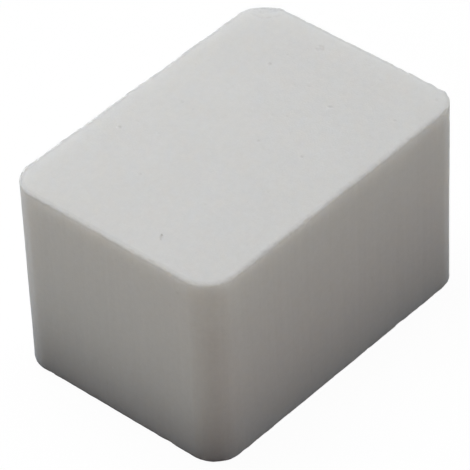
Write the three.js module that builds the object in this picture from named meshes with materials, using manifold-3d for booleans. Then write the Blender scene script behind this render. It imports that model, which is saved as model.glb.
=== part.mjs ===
// A gymnastics chalk block: one pressed cake of magnesium carbonate, as a gymnast takes it out of its box.
// Its upright corners are well rounded by the press mould, and its top and bottom edges are only eased.
// Millimetres, +Z up. The origin is the middle of the base, +X runs along the length and +Y along the width.

import * as THREE from 'three';
import { mergeVertices } from 'three/addons/utils/BufferGeometryUtils.js';
import Module from 'manifold-3d';

// ---------------------------------------------------------------- driving dimensions

const LENGTH = 70;
const WIDTH = 49.1;
const HEIGHT = 43.4;
const CORNER_RADIUS = 6.2;
const TOP_EDGE_RADIUS = 0.4;
const BOTTOM_EDGE_RADIUS = 1.4;

// How many flat steps make each upright corner, and each rounded edge.
const CORNER_STEPS = 16;
const EDGE_STEPS = 6;

// A three.js arc makes two steps of each curve segment it is asked for.
const STEPS_PER_ARC_SEGMENT = 2;

// ---------------------------------------------------------------- solids

const wasm = await Module();
wasm.setup();

// Turns a closed geometry into a solid that can be joined and cut.
function solidOf(geometry) {
  geometry.deleteAttribute('normal');
  geometry.deleteAttribute('uv');
  const merged = mergeVertices(geometry);
  const mesh = new wasm.Mesh({
    numProp: 3,
    vertProperties: new Float32Array(merged.attributes.position.array),
    triVerts: new Uint32Array(merged.index.array),
  });
  return new wasm.Manifold(mesh);
}

// Turns a solid back into a geometry to show.
function geometryOf(solid) {
  const mesh = solid.getMesh();
  const geometry = new THREE.BufferGeometry();
  geometry.setAttribute('position', new THREE.BufferAttribute(mesh.vertProperties, mesh.numProp));
  geometry.setIndex(new THREE.BufferAttribute(mesh.triVerts, 1));
  geometry.computeVertexNormals();
  return geometry;
}

// The block's outline from above: a rectangle with a quarter circle at each corner.
function plan() {
  const x = LENGTH / 2;
  const y = WIDTH / 2;
  const r = CORNER_RADIUS;
  const shape = new THREE.Shape();
  shape.absarc(x - r, y - r, r, 0, Math.PI / 2);
  shape.absarc(r - x, y - r, r, Math.PI / 2, Math.PI);
  shape.absarc(r - x, r - y, r, Math.PI, 1.5 * Math.PI);
  shape.absarc(x - r, r - y, r, 1.5 * Math.PI, 2 * Math.PI);
  shape.closePath();
  return shape;
}

// An upright slab on the plan from z = low to z = high, with both its rims rounded to one radius.
function slab(low, high, rimRadius) {
  const geometry = new THREE.ExtrudeGeometry(plan(), {
    depth: high - low - 2 * rimRadius,
    bevelThickness: rimRadius,
    bevelSize: rimRadius,
    bevelOffset: -rimRadius,
    bevelSegments: EDGE_STEPS,
    curveSegments: CORNER_STEPS / STEPS_PER_ARC_SEGMENT,
  });
  geometry.translate(0, 0, low + rimRadius);
  return geometry;
}

// ---------------------------------------------------------------- the block

// Two tall slabs overlap: one gives the rounded top edge, the other the rounded bottom edge.
function chalkBlock() {
  const withTopEdge = solidOf(slab(-HEIGHT, HEIGHT, TOP_EDGE_RADIUS));
  const withBottomEdge = solidOf(slab(0, 2 * HEIGHT, BOTTOM_EDGE_RADIUS));
  const mesh = new THREE.Mesh(
    geometryOf(withTopEdge.intersect(withBottomEdge)),
    new THREE.MeshStandardMaterial({ color: 0xe6e4e0, roughness: 0.95, metalness: 0 }),
  );
  mesh.name = 'chalk_block';
  return mesh;
}

const block = new THREE.Group();
block.add(chalkBlock());

export default block;
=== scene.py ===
import itertools
import math

import bpy
import numpy as np
from mathutils import Matrix, Vector


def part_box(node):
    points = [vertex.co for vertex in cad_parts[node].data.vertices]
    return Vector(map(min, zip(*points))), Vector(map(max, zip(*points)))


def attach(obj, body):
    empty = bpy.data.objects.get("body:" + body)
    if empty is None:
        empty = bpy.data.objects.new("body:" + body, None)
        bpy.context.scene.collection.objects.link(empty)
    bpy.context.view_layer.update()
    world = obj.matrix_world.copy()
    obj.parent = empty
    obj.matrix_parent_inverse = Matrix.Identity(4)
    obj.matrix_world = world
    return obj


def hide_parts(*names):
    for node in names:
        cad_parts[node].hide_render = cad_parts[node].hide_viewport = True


# A gymnastics chalk block on a pale floor. Lengths are in millimetres up to the point where a mesh,
# a light or the camera is made, and MM turns them into Blender's metres.

MM = 0.001

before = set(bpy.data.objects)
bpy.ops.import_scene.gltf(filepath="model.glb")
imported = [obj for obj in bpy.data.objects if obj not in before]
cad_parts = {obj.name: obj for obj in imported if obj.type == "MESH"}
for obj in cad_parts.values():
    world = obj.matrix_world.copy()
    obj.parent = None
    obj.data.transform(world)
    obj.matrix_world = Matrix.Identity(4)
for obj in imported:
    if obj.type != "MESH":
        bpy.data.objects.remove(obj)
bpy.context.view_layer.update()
low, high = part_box("chalk_block")
LENGTH = (high.x - low.x) / MM
WIDTH = (high.y - low.y) / MM
HEIGHT = (high.z - low.z) / MM

# ---------------------------------------------------------------- sizes of the block's shape

# The upright corners, by the signs of x and y. Handling has rubbed them a little unequally.
CORNER_RADII = {(1, 1): 6.4, (-1, 1): 5.8, (-1, -1): 6.2, (1, -1): 5.4}
TOP_EDGE_RADIUS = 0.4
# Before wear, which cuts the bottom edge back a little. The CAD has 1.4 there.
BOTTOM_EDGE_RADIUS = 1.2

# How finely the mesh is divided before it is thinned to the triangles that the surface needs.
GRID_STEP = 0.2
SIDE_STEP = 0.3
RIM_STEPS = 6
TRIANGLES = 180_000


# ---------------------------------------------------------------- smooth surface of the block

def grid_lines(half_length, corner_radius, step):
    """Signed places of the grid lines across the block: (core place as a share, share of the corner)."""
    core_half = half_length - corner_radius
    core = np.linspace(-1, 1, 2 * round(core_half / step) + 1)
    corner = np.linspace(0, 1, round(corner_radius / step) + 1)[1:]
    shares = np.concatenate([-np.ones(len(corner)), core, np.ones(len(corner))])
    corners = np.concatenate([-corner[::-1], np.zeros(len(core)), corner])
    return shares, corners


def disc(a, b):
    """Maps the square from -1 to 1 onto the unit disc, keeping its two axes."""
    reach = np.maximum(np.abs(a), np.abs(b))
    safe = np.where(reach > 0, reach, 1)
    steep = np.abs(b) > np.abs(a)
    small = np.where(steep, np.abs(a), np.abs(b)) / safe
    angle = np.where(steep, math.pi / 2 - small * math.pi / 4, small * math.pi / 4)
    return reach * np.cos(angle) * np.sign(a), reach * np.sin(angle) * np.sign(b)


def ring_of(columns, rows):
    """Indices of the outermost grid points, once round, counter-clockwise from the lowest corner."""
    index = np.arange(columns * rows).reshape(rows, columns)
    return np.concatenate([index[0, :-1], index[:-1, -1], index[-1, :0:-1], index[:0:-1, 0]])


def smooth_block():
    """A closed mesh of quads on the rounded block: points, quads, each point's inset, and the two rims.

    The inset is how far a point lies inside the block's outline as seen from above. A rim is the indices of
    the points along the middle of a rounded edge, top edge first.
    """
    mean_radius = sum(CORNER_RADII.values()) / len(CORNER_RADII)
    share_x, corner_x = grid_lines(LENGTH / 2, mean_radius, GRID_STEP)
    share_y, corner_y = grid_lines(WIDTH / 2, mean_radius, GRID_STEP)
    sx, sy = np.meshgrid(share_x, share_y)
    ax, ay = np.meshgrid(corner_x, corner_y)
    # The corner radius changes evenly from one corner to the next.
    radius = sum(
        r * (1 + sign_x * sx) * (1 + sign_y * sy) / 4 for (sign_x, sign_y), r in CORNER_RADII.items()
    )
    core_x = sx * (LENGTH / 2 - radius)
    core_y = sy * (WIDTH / 2 - radius)
    out_x, out_y = disc(ax, ay)
    reach = np.hypot(out_x, out_y)
    rows, columns = sx.shape
    ring = ring_of(columns, rows)

    def outline(inset):
        """The ring of points at that inset from the block's outline."""
        r = (radius.ravel() - inset)[ring]
        x = core_x.ravel()[ring] + r * out_x.ravel()[ring]
        y = core_y.ravel()[ring] + r * out_y.ravel()[ring]
        return x, y

    def cap(edge_radius, z):
        x = core_x + (radius - edge_radius) * out_x
        y = core_y + (radius - edge_radius) * out_y
        return np.stack([x.ravel(), y.ravel(), np.full(x.size, z)], 1)

    # Rows of the wall from the top cap down to the bottom cap, as (inset, z).
    quarter = np.linspace(0, math.pi / 2, RIM_STEPS + 1)[1:]
    top, bottom = TOP_EDGE_RADIUS, BOTTOM_EDGE_RADIUS
    wall = [(top * (1 - math.sin(q)), HEIGHT - top * (1 - math.cos(q))) for q in quarter]
    side_steps = round((HEIGHT - top - bottom) / SIDE_STEP)
    wall += [(0, z) for z in np.linspace(HEIGHT - top, bottom, side_steps + 1)[1:]]
    wall += [(bottom * (1 - math.cos(q)), bottom * (1 - math.sin(q))) for q in quarter[:-1]]

    points = [cap(top, HEIGHT)]
    insets = [(radius - (radius - top) * reach).ravel()]
    for inset, z in wall:
        x, y = outline(inset)
        points.append(np.stack([x, y, np.full(len(x), z)], 1))
        insets.append(np.full(len(x), inset))
    points.append(cap(bottom, 0))
    insets.append((radius - (radius - bottom) * reach).ravel())

    index = np.arange(rows * columns).reshape(rows, columns)
    cap_corners = [index[:-1, :-1], index[:-1, 1:], index[1:, 1:], index[1:, :-1]]
    cap_quads = np.stack(cap_corners, -1).reshape(-1, 4)
    quads = [cap_quads]
    above = ring
    first = rows * columns
    for _ in wall:
        below = first + np.arange(len(ring))
        quads.append(np.stack([np.roll(above, -1), above, below, np.roll(below, -1)], 1))
        above = below
        first += len(ring)
    below = first + ring
    quads.append(np.stack([np.roll(above, -1), above, below, np.roll(below, -1)], 1))
    quads.append(first + cap_quads[:, ::-1])
    middle = RIM_STEPS // 2 - 1
    rims = [
        rows * columns + row * len(ring) + np.arange(len(ring))
        for row in (middle, RIM_STEPS + side_steps + middle)
    ]
    return np.concatenate(points), np.concatenate(quads), np.concatenate(insets), rims


# ---------------------------------------------------------------- marks of pressing and handling

# Spread of the blended lattice heights before they are scaled.
NOISE_SPREAD = 0.5

# Each is (cell size, height): slow unevenness of the faces, then ever finer lumps of pressed powder.
FACE_UNEVENNESS = [(24, 0.02), (5, 0.006), (1.6, 0.003), (0.7, 0.0025)]

# A surface counts as a side where the upward part of its normal is below the first, and as flat where it
# is above the second.
SIDE_SLOPE = (0.2, 0.6)

# Upright lines that the mould walls drag into the sides, as (cell size, height): thin and long.
DRAG_LINES = [((1.1, 1.1, 40), 0.005), ((0.5, 0.5, 18), 0.003)]

# How uneven handling leaves the top edges, as (cell size, height), and how far that reaches along
# the faces. The bottom edges have only that share of it.
EDGE_UNEVENNESS = [(6, 0.025), (1.8, 0.03), (0.6, 0.022)]
EDGE_REACH = 0.9
BOTTOM_EDGE_SHARE = 0.35


def lattice_noise(points, cell, seed, turned=True):
    """Smooth noise with a spread near one: random heights on a lattice of that cell size, blended."""
    rng = np.random.default_rng(seed)
    turn = np.linalg.qr(rng.standard_normal((3, 3)))[0] if turned else np.eye(3)
    place = points @ turn / cell
    place -= place.min(0)
    corner = place.astype(int)
    part = place - corner
    part = part * part * (3 - 2 * part)
    heights = rng.standard_normal(corner.max(0) + 2)
    total = np.zeros(len(points))
    for step in itertools.product((0, 1), repeat=3):
        share = np.prod(np.where(step, part, 1 - part), axis=1)
        total += share * heights[tuple((corner + step).T)]
    return total / NOISE_SPREAD


def smooth_step(value, start, end):
    share = np.clip((value - start) / (end - start), 0, 1)
    return share * share * (3 - 2 * share)


def edge_closeness(inset, z):
    """One on the rounded top edge and less on the bottom one, falling to nothing along the faces."""
    from_top = inset + HEIGHT - z
    from_bottom = inset + z
    near_top = 1 - smooth_step(from_top, TOP_EDGE_RADIUS, TOP_EDGE_RADIUS + EDGE_REACH)
    near_bottom = 1 - smooth_step(from_bottom, BOTTOM_EDGE_RADIUS, BOTTOM_EDGE_RADIUS + EDGE_REACH)
    return np.maximum(near_top, near_bottom * BOTTOM_EDGE_SHARE)


def surface_loss(points, closeness, on_side):
    """How far below the smooth surface each point lies."""
    loss = np.zeros(len(points))
    for seed, (cell, height) in enumerate(FACE_UNEVENNESS):
        loss += height * lattice_noise(points, cell, seed)
    for seed, (cell, height) in enumerate(DRAG_LINES, 10):
        loss += on_side * height * lattice_noise(points, cell, seed, turned=False)
    for seed, (cell, height) in enumerate(EDGE_UNEVENNESS, 20):
        loss += closeness * height * lattice_noise(points, cell, seed)
    return loss


# ---------------------------------------------------------------- chips and pits

UP = np.array([0.0, 0.0, 1.0])
LEFT = np.array([-1.0, 0.0, 0.0])
FRONT = np.array([0.0, -1.0, 0.0])

# How uneven the floor of a chip or pit is, and the cell size of that unevenness.
CHIP_ROUGHNESS = 0.03
CHIP_GRAIN = 0.5

# How far above or below the level a random rim chip may be struck from, as a slope.
CHIP_TILT = 0.5

# A chip is looked for a little past its half width.
CHIP_MARGIN = 1.2

# A chip or pit this deep is fully rougher and fully darkened with painted shade.
BROKEN_DEPTH = 0.06

# Pits that the photograph shows, listed as (face, place along it, place across or up it, half width,
# depth).
PITS = [
    (UP, -10.9, 18.9, 0.4, 0.09),
    (UP, 2, 15, 0.4, 0.08),
    (UP, 1.5, 12, 0.3, 0.04),
    (UP, -18.5, 7, 0.35, 0.1),
    (UP, 20.5, 9.8, 0.45, 0.07),
    (UP, 2, -3.5, 0.4, 0.09),
    (UP, 3.5, -12.5, 0.4, 0.1),
    (UP, 17.7, -7.3, 0.4, 0.07),
    (UP, 30, 5.5, 0.8, 0.08),
    (UP, 31.7, -21.1, 0.5, 0.08),
    (UP, 22, -19, 0.35, 0.06),
    (LEFT, -16.6, 39.3, 0.38, 0.13),
    (LEFT, 12, 39.7, 0.3, 0.08),
    (LEFT, -15, 10.7, 0.3, 0.08),
    (LEFT, -2, 39, 0.3, 0.09),
    (LEFT, 2.5, 6.5, 0.4, 0.1),
    (LEFT, -21.5, 12, 0.4, 0.08),
    (FRONT, -3.5, 22.5, 0.4, 0.1),
    (FRONT, 8.5, 17.5, 0.35, 0.08),
    (FRONT, -11, 13.5, 0.35, 0.08),
]

# Scratches in the top, as (middle, half width, depth, direction, length over width): one near the left
# corner, and four for the crack that bounds the far corner's chip.
SCRATCHES = [
    ((-29, -7.7), 0.3, 0.24, (0.8, 0.6, 0), 3.2),
    ((30.2, 21.5), 0.22, 0.05, (-0.08, 1, 0), 4),
    ((30.45, 20.1), 0.22, 0.08, (0.4, -0.9, 0), 4),
    ((31.2, 19.15), 0.22, 0.08, (0.75, -0.65, 0), 4),
    ((32.6, 18.25), 0.22, 0.05, (0.88, -0.47, 0), 5),
]

# Tiny pits all over, as (how many, least and most half width, least and most depth).
TINY_PITS = (260, (0.16, 0.34), (0.01, 0.035))

# Small chips along each rim, as (how many, half widths, depths, length over width). On the back and
# right rims their sizes are multiplied by that share.
TOP_RIM_CHIPS = (70, (0.2, 0.5), (0.02, 0.08), (1, 2.6))
BOTTOM_RIM_CHIPS = (30, (0.25, 0.5), (0.02, 0.07), (1, 2.4))
FAR_RIM_SHARE = 0.5

# Larger wear on the rims that the photograph shows, as (point on the rim, direction it was struck from,
# half width, depth, length over width): the shallow chip at the far corner, the worn front corner, the
# notch and a shallow dent on the right, and nicks along the bottom.
RIM_CHIPS = [
    ((33.6, 21.6, 43.4), (0.06, 0.06, 1), 3.5, 0.3, 1),
    ((-33.2, -22.8, 43.4), (0, 0, 1), 3.2, 0.16, 1),
    ((34.9, -19.2, 43.2), (0.8, 0, 1), 0.8, 0.26, 1.6),
    ((34.9, -12.4, 43.3), (0.6, 0, 1), 0.6, 0.12, 3),
    ((-34.7, -12, 0.4), (-1, 0, -0.5), 0.8, 0.18, 1.5),
    ((16.5, -24.3, 0.4), (0, -1, -0.5), 0.8, 0.18, 1.5),
    ((7.5, -24.3, 0.3), (0, -1, -0.6), 0.7, 0.15, 1.2),
    ((-28, -24.3, 0.4), (0, -1, -0.5), 0.7, 0.16, 1.5),
    ((30.5, -24.2, 0.3), (0.2, -1, -0.7), 1.6, 0.15, 1.6),
]


def ball_for(half_width, depth):
    """Radius of the ball that cuts a hollow of that half width and depth into a flat face."""
    return (half_width * half_width + depth * depth) / (2 * depth)


def unit(vector):
    vector = np.array(vector, float)
    return vector / np.linalg.norm(vector)


def on_face(face, along, across):
    """The point on the top, left or front face at that place."""
    if face is UP:
        return np.array([along, across, HEIGHT])
    if face is LEFT:
        return np.array([-LENGTH / 2, along, across])
    return np.array([along, -WIDTH / 2, across])


class Surface:
    """The block's points while chips and pits are cut into them."""

    def __init__(self, points):
        self.points = points
        self.rough = CHIP_ROUGHNESS * lattice_noise(points, CHIP_GRAIN, 30)
        self.cut = np.zeros(len(points))

    def chip(self, place, direction, half_width, depth, axis=UP, stretch=1):
        """Hollows the surface there with a rough ball from that direction, stretched along the axis."""
        radius = ball_for(half_width, depth)
        centre = place + (radius - depth) * direction
        reach = CHIP_MARGIN * half_width * stretch + depth
        near = np.flatnonzero(np.all(np.abs(self.points - place) < reach, axis=1))
        away = self.points[near] - centre
        along = away @ axis
        distance = np.sqrt(np.sum(away * away, axis=1) - along * along * (1 - 1 / (stretch * stretch)))
        wanted = radius + np.minimum(self.rough[near], depth / 2)
        inside = distance < wanted
        near = near[inside]
        share = (wanted / distance)[inside] - 1
        moved = away[inside] * share[:, None]
        self.points[near] += moved
        self.cut[near] += np.linalg.norm(moved, axis=1)


def chip_rim(surface, places, directions, settings, seed):
    """Breaks small chips off at random places along a rim."""
    count, half_widths, depths, stretches = settings
    rng = np.random.default_rng(seed)
    for which in rng.integers(len(places), size=count):
        direction = unit(directions[which] + UP * rng.uniform(-CHIP_TILT, CHIP_TILT))
        axis = unit(np.cross(directions[which], UP))
        on_far_rim = directions[which] @ (FRONT + LEFT) < -0.3
        share = FAR_RIM_SHARE if on_far_rim else 1
        surface.chip(
            places[which],
            direction,
            share * rng.uniform(*half_widths),
            share * rng.uniform(*depths),
            axis,
            rng.uniform(*stretches),
        )


def wear(surface, rims, normals, closeness):
    """Cuts every chip and pit."""
    smooth = surface.points.copy()
    for place, direction, half_width, depth, stretch in RIM_CHIPS:
        direction = unit(direction)
        level = np.array([direction[0], direction[1], 0])
        surface.chip(np.array(place), direction, half_width, depth, unit(np.cross(level, UP)), stretch)
    for seed, (rim, settings) in enumerate(zip(rims, (TOP_RIM_CHIPS, BOTTOM_RIM_CHIPS)), 40):
        chip_rim(surface, smooth[rim], normals[rim], settings, seed)
    for face, along, across, half_width, depth in PITS:
        surface.chip(on_face(face, along, across), face, half_width, depth)
    for (x, y), half_width, depth, axis, stretch in SCRATCHES:
        surface.chip(on_face(UP, x, y), UP, half_width, depth, unit(axis), stretch)
    count, half_widths, depths = TINY_PITS
    rng = np.random.default_rng(50)
    for which in rng.choice(np.flatnonzero(closeness == 0), size=count, replace=False):
        surface.chip(smooth[which], normals[which], rng.uniform(*half_widths), rng.uniform(*depths))


# ---------------------------------------------------------------- mesh objects

def mesh_object(name, points, faces):
    """A smooth-shaded object from points in millimetres."""
    mesh = bpy.data.meshes.new(name)
    mesh.from_pydata((points * MM).tolist(), [], faces.tolist())
    mesh.update()
    mesh.shade_smooth()
    made = bpy.data.objects.new(name, mesh)
    bpy.context.scene.collection.objects.link(made)
    return made


def normals_of(made):
    values = np.zeros(3 * len(made.data.vertices), np.float32)
    made.data.vertex_normals.foreach_get("vector", values)
    return values.reshape(-1, 3).astype(float)


def keep_attribute(made, name, values):
    attribute = made.data.attributes.new(name, "FLOAT", "POINT")
    attribute.data.foreach_set("value", values.astype(np.float32))


def thin(made, triangles):
    """Merges the mesh's edges where the surface is smoothest, down to that many triangles."""
    modifier = made.modifiers.new("thin", "DECIMATE")
    modifier.ratio = triangles / (2 * len(made.data.polygons))
    bpy.context.view_layer.update()
    evaluated = made.evaluated_get(bpy.context.evaluated_depsgraph_get())
    made.data = bpy.data.meshes.new_from_object(evaluated)
    made.modifiers.clear()


# ---------------------------------------------------------------- chalk

# Compressed magnesium carbonate: the palest it gets, and the darkest that its tones and the painted shade
# reach.
PALE_CHALK = (0.86, 0.852, 0.835)
DULL_CHALK = (0.66, 0.648, 0.625)

# Where plain chalk lies between those two, from 0 for the darkest to 1 for the palest, and how far each
# thing shifts it: clouds, lumps and grains, and drag lines, then painted shade in hollows, in chips and
# along the edges.
MIDDLE_SHADE = 0.72
CLOUD_SHADE = 0.16
GRAIN_SHADE = 0.25
LINE_SHADE = 0.22
HOLLOW_PAINTED_SHADE = 0.2
CHIP_PAINTED_SHADE = 0.15
EDGE_PAINTED_SHADE = 0.3

# Pointiness of a flat face and of the bottom of a hollow.
FLAT_POINTINESS = 0.5
HOLLOW_POINTINESS = 0.4

# The closeness to an edge where the painted edge shade begins.
EDGE_PAINTED_SHADE_FROM = 0.3

# Sizes in the material: clouds of colour, lumps of powder, grains, and the drag lines' spacing and length.
CLOUD_SIZE = 14
LUMP_SIZE = 1.1
GRAIN_SIZE = 0.35
LINE_SPACING = 0.9
LINE_LENGTH = 30

# The mould leaves the sides a little smoother than the powdery top.
POWDERY_ROUGHNESS = 0.97
PRESSED_ROUGHNESS = 0.86
# How far the grain, the drag lines and fresh breaks shift that.
ROUGHNESS_SHIFTS = (0.08, 0.1, 0.1)
DIFFUSE_ROUGHNESS = 0.5
SPECULAR_LEVEL = 0.2

# How far light seeps sideways inside the chalk before it comes out again, and the share of it in red,
# green and blue.
SEEP = 4.5
SEEP_BY_COLOUR = (1, 0.95, 0.88)

# Height of the grains that are too fine for the mesh.
GRAIN_DEPTH = 0.025
# Shares of the grain, the lumps and the drag lines in it.
HEIGHT_SHARES = (1.0, 0.6, 0.8)


class Nodes:
    """Adds nodes to a material's tree. An input given a socket is linked to it, any other value is set."""

    def __init__(self, material):
        self.tree = material.node_tree

    def set(self, socket, value):
        if isinstance(value, bpy.types.NodeSocket):
            self.tree.links.new(value, socket)
        else:
            socket.default_value = value

    def add(self, kind, **inputs):
        made = self.tree.nodes.new(kind)
        for name, value in inputs.items():
            self.set(made.inputs[name], value)
        return made

    def math(self, operation, first, second=0.0):
        made = self.tree.nodes.new("ShaderNodeMath")
        made.operation = operation
        self.set(made.inputs[0], first)
        self.set(made.inputs[1], second)
        return made.outputs[0]

    def noise(self, place, size, detail):
        """Noise around zero, about one wide, with lumps of that many millimetres."""
        made = self.add("ShaderNodeTexNoise", Vector=place, Scale=1 / (size * MM), Detail=detail)
        return self.math("SUBTRACT", made.outputs["Fac"], 0.5)

    def attribute(self, name):
        made = self.add("ShaderNodeAttribute")
        made.attribute_name = name
        return made.outputs["Fac"]

    def span(self, value, start, end, first, last):
        made = self.add("ShaderNodeMapRange", Value=value)
        made.inputs["From Min"].default_value = start
        made.inputs["From Max"].default_value = end
        made.inputs["To Min"].default_value = first
        made.inputs["To Max"].default_value = last
        return made.outputs[0]

    def total(self, start, *parts):
        """The start plus each (value, amount), multiplied."""
        for value, amount in parts:
            start = self.math("ADD", start, self.math("MULTIPLY", value, amount))
        return start


def chalk_material():
    material = bpy.data.materials.new("chalk")
    material.use_nodes = True
    nodes = Nodes(material)
    shader = material.node_tree.nodes["Principled BSDF"]
    shader.inputs["Diffuse Roughness"].default_value = DIFFUSE_ROUGHNESS
    shader.inputs["Specular IOR Level"].default_value = SPECULAR_LEVEL
    shader.inputs["Subsurface Weight"].default_value = 1
    shader.inputs["Subsurface Scale"].default_value = SEEP * MM
    shader.inputs["Subsurface Radius"].default_value = SEEP_BY_COLOUR

    coordinates = nodes.add("ShaderNodeTexCoord")
    place = coordinates.outputs["Object"]
    clouds = nodes.noise(place, CLOUD_SIZE, 3.0)
    lumps = nodes.noise(place, LUMP_SIZE, 2.0)
    grain = nodes.noise(place, GRAIN_SIZE, 2.0)

    stretched = nodes.add("ShaderNodeMapping", Vector=place)
    stretched.inputs["Scale"].default_value = (1, 1, LINE_SPACING / LINE_LENGTH)
    lines = nodes.noise(stretched.outputs[0], LINE_SPACING, 3.0)
    normal = nodes.add("ShaderNodeSeparateXYZ", Vector=coordinates.outputs["Normal"])
    flatness = nodes.math("ABSOLUTE", normal.outputs["Z"])
    on_side = nodes.span(flatness, *SIDE_SLOPE, 1.0, 0.0)
    side_lines = nodes.math("MULTIPLY", lines, on_side)

    geometry = nodes.add("ShaderNodeNewGeometry")
    # Painted shade: the colour darkens where the pointiness shows a hollow.
    painted_hollow_shade = nodes.span(geometry.outputs["Pointiness"], FLAT_POINTINESS, HOLLOW_POINTINESS, 0.0, 1.0)
    # Painted shade: chips and pits darken by how deep they are cut; the same mask also makes them rougher.
    chip_roughness_and_shade = nodes.attribute("chip_roughness_and_shade")
    # Painted shade: the colour darkens towards the rounded edges, most on the top edge.
    painted_edge_shade = nodes.span(nodes.attribute("closeness"), EDGE_PAINTED_SHADE_FROM, 1.0, 0.0, 1.0)

    shade = nodes.total(
        MIDDLE_SHADE,
        (clouds, CLOUD_SHADE),
        (lumps, GRAIN_SHADE),
        (grain, GRAIN_SHADE),
        (side_lines, LINE_SHADE),
        (painted_hollow_shade, -HOLLOW_PAINTED_SHADE),
        (painted_edge_shade, -EDGE_PAINTED_SHADE),
        (chip_roughness_and_shade, -CHIP_PAINTED_SHADE),
    )
    colour = nodes.add("ShaderNodeMix")
    colour.data_type = "RGBA"
    colour.inputs[6].default_value = (*DULL_CHALK, 1)
    colour.inputs[7].default_value = (*PALE_CHALK, 1)
    nodes.set(colour.inputs[0], shade)
    nodes.set(shader.inputs["Base Color"], colour.outputs[2])

    roughness = nodes.span(on_side, 0.0, 1.0, POWDERY_ROUGHNESS, PRESSED_ROUGHNESS)
    roughness = nodes.total(roughness, *zip((grain, side_lines, chip_roughness_and_shade), ROUGHNESS_SHIFTS))
    nodes.set(shader.inputs["Roughness"], roughness)

    height = nodes.total(0.0, *zip((grain, lumps, side_lines), HEIGHT_SHARES))
    bump = nodes.add("ShaderNodeBump", Height=height)
    bump.inputs["Strength"].default_value = 1
    bump.inputs["Distance"].default_value = GRAIN_DEPTH * MM
    nodes.set(shader.inputs["Normal"], bump.outputs[0])
    return material


# ---------------------------------------------------------------- block

def make_block():
    points, quads, inset, rims = smooth_block()
    block = mesh_object("pressed_chalk", points, quads)
    normals = normals_of(block)
    closeness = edge_closeness(inset, points[:, 2])
    on_side = 1 - smooth_step(np.abs(normals[:, 2]), *SIDE_SLOPE)
    points -= normals * surface_loss(points, closeness, on_side)[:, None]
    surface = Surface(points)
    wear(surface, rims, normals, closeness)
    # The block rests on its base, so nothing dips below the floor.
    points[:, 2] = np.maximum(points[:, 2], 0)
    block.data.vertices.foreach_set("co", (points * MM).astype(np.float32).ravel())
    # The cut depth darkens chips with painted shade and makes them rougher in the material.
    keep_attribute(block, "chip_roughness_and_shade", smooth_step(surface.cut, 0, BROKEN_DEPTH))
    keep_attribute(block, "closeness", closeness)
    block.data.update()
    thin(block, TRIANGLES)
    block.data.materials.append(chalk_material())
    return block


block = make_block()
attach(block, "root")
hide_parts("chalk_block")


# ---------------------------------------------------------------- floor and light

# The floor and the surroundings are nearly white and light nothing, so the lamps and sheets alone light
# the block.
FLOOR_HALF_WIDTH = 4000
FLOOR_COLOUR = (0.05, 0.05, 0.05)
FLOOR_GLOW = 0.965
SURROUNDINGS = (0.97, 0.97, 0.97)

# Soft round lamps that face the block: name, place, width, watts, colour.
LAMPS = [
    ("overhead", (0, 80, 400), 300, 1.09, (0.98, 0.99, 1)),
    ("left_high", (-900, 0, 400), 500, 0.58, (0.94, 1, 0.97)),
    ("right_low", (700, -700, 110), 500, 1.78, (0.95, 0.99, 1)),
    ("corner_low", (-600, -600, 60), 500, 0.46, (1, 0.84, 0.86)),
    ("back_low", (-100, 900, 60), 500, 2.4, (0.88, 0.92, 1)),
    ("right_end", (900, 100, 60), 500, 1.8, (0.9, 0.95, 1)),
]

# Glowing sheets on the floor throw light up at the sides: name, direction from the block, nearest and
# furthest edge, brightness, colour.
SHEETS = [
    ("front", (0, -1), 300, 900, 2.08, (0.98, 1, 0.89)),
    ("left", (-1, 0), 300, 900, 2.1, (1, 0.9, 0.82)),
    ("back", (0, 1), 300, 900, 2.2, (0.95, 0.98, 1)),
    ("right", (1, 0), 300, 900, 3.2, (0.93, 0.98, 1)),
    ("near_front", (0, -1), 20, 70, 0.235, (1, 0.77, 0.67)),
    ("near_left", (-1, 0), 20, 70, 0.56, (0.99, 1, 0.93)),
]
SHEET_HEIGHT = 1


def make_floor():
    half = FLOOR_HALF_WIDTH
    corners = np.array([(-half, -half, 0), (half, -half, 0), (half, half, 0), (-half, half, 0)])
    floor = mesh_object("floor", corners, np.array([[0, 1, 2, 3]]))
    material = bpy.data.materials.new("floor")
    material.use_nodes = True
    shader = material.node_tree.nodes["Principled BSDF"]
    shader.inputs["Base Color"].default_value = (*FLOOR_COLOUR, 1)
    shader.inputs["Roughness"].default_value = 1
    shader.inputs["Specular IOR Level"].default_value = 0
    shader.inputs["Emission Color"].default_value = (1, 1, 1, 1)
    shader.inputs["Emission Strength"].default_value = FLOOR_GLOW
    floor.data.materials.append(material)
    floor.visible_diffuse = False
    floor.visible_glossy = False
    floor.visible_shadow = False
    return floor


def make_surroundings():
    world = bpy.data.worlds.new("surroundings")
    world.use_nodes = True
    background = world.node_tree.nodes["Background"]
    background.inputs["Color"].default_value = (*SURROUNDINGS, 1)
    background.inputs["Strength"].default_value = 1
    world.cycles_visibility.diffuse = False
    world.cycles_visibility.glossy = False
    bpy.context.scene.world = world


def add_light(name, shape, place, turn, watts, colour):
    light = bpy.data.lights.new(name, "AREA")
    light.shape = shape
    light.energy = watts
    light.color = colour
    lamp = bpy.data.objects.new(name, light)
    lamp.location = place * MM
    lamp.rotation_euler = turn
    lamp.visible_camera = False
    bpy.context.scene.collection.objects.link(lamp)
    return light


def add_lamp(name, place, width, watts, colour):
    away = Vector(place) - Vector((0, 0, HEIGHT / 2))
    light = add_light(name, "DISK", Vector(place), away.to_track_quat("Z", "Y").to_euler(), watts, colour)
    light.size = width * MM


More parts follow.
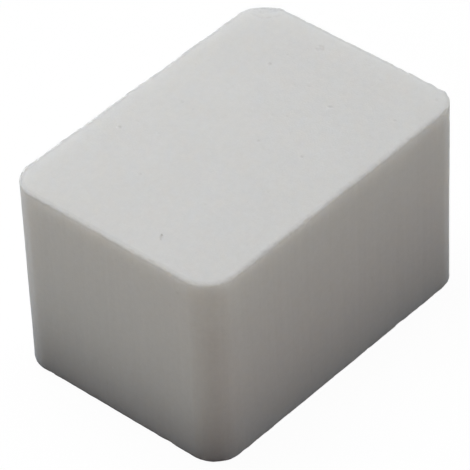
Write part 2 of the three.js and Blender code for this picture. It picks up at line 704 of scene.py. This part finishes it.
def add_sheet(name, direction, nearest, furthest, brightness, colour):
    """A glowing rectangle flat on the floor, facing up and as wide as it reaches on both sides."""
    half_side = abs(direction[0]) * LENGTH / 2 + abs(direction[1]) * WIDTH / 2
    middle = half_side + (nearest + furthest) / 2
    length = (2 * furthest + LENGTH) * MM
    depth = (furthest - nearest) * MM
    place = Vector((direction[0] * middle, direction[1] * middle, SHEET_HEIGHT))
    turn = (math.pi, 0, math.pi / 2 if direction[0] else 0)
    light = add_light(name, "RECTANGLE", place, turn, math.pi * length * depth * brightness, colour)
    light.size = length
    light.size_y = depth


make_floor()
make_surroundings()
for settings in LAMPS:
    add_lamp(*settings)
for settings in SHEETS:
    add_sheet(*settings)
bpy.context.scene.view_settings.view_transform = "Standard"


# ---------------------------------------------------------------- camera

AZIMUTH = math.radians(-47.39)
ELEVATION = math.radians(40.59)
ROLL = math.radians(-2.37)
CAMERA_DISTANCE = 691
# How far the camera stands to the right of the line to the block's middle, and above it.
CAMERA_RIGHT = -0.94
CAMERA_UP = -0.97
FIELD_WIDTH_AT_BLOCK = 87.2
SENSOR_WIDTH = 36


def place_camera():
    back = Vector((
        math.sin(AZIMUTH) * math.cos(ELEVATION),
        -math.cos(AZIMUTH) * math.cos(ELEVATION),
        math.sin(ELEVATION),
    ))
    level_right = Vector((0, 0, 1)).cross(back).normalized()
    roll = Matrix.Rotation(ROLL, 3, back)
    right = roll @ level_right
    up = roll @ back.cross(level_right)
    centre = Vector((0, 0, HEIGHT / 2))
    place = centre + CAMERA_DISTANCE * back + CAMERA_RIGHT * right + CAMERA_UP * up
    data = bpy.data.cameras.new("camera")
    data.sensor_width = SENSOR_WIDTH
    data.lens = SENSOR_WIDTH * CAMERA_DISTANCE / FIELD_WIDTH_AT_BLOCK
    camera = bpy.data.objects.new("camera", data)
    turn = Matrix((right, up, back)).transposed()
    camera.matrix_world = Matrix.Translation(place * MM) @ turn.to_4x4()
    bpy.context.scene.collection.objects.link(camera)
    bpy.context.scene.camera = camera


place_camera()
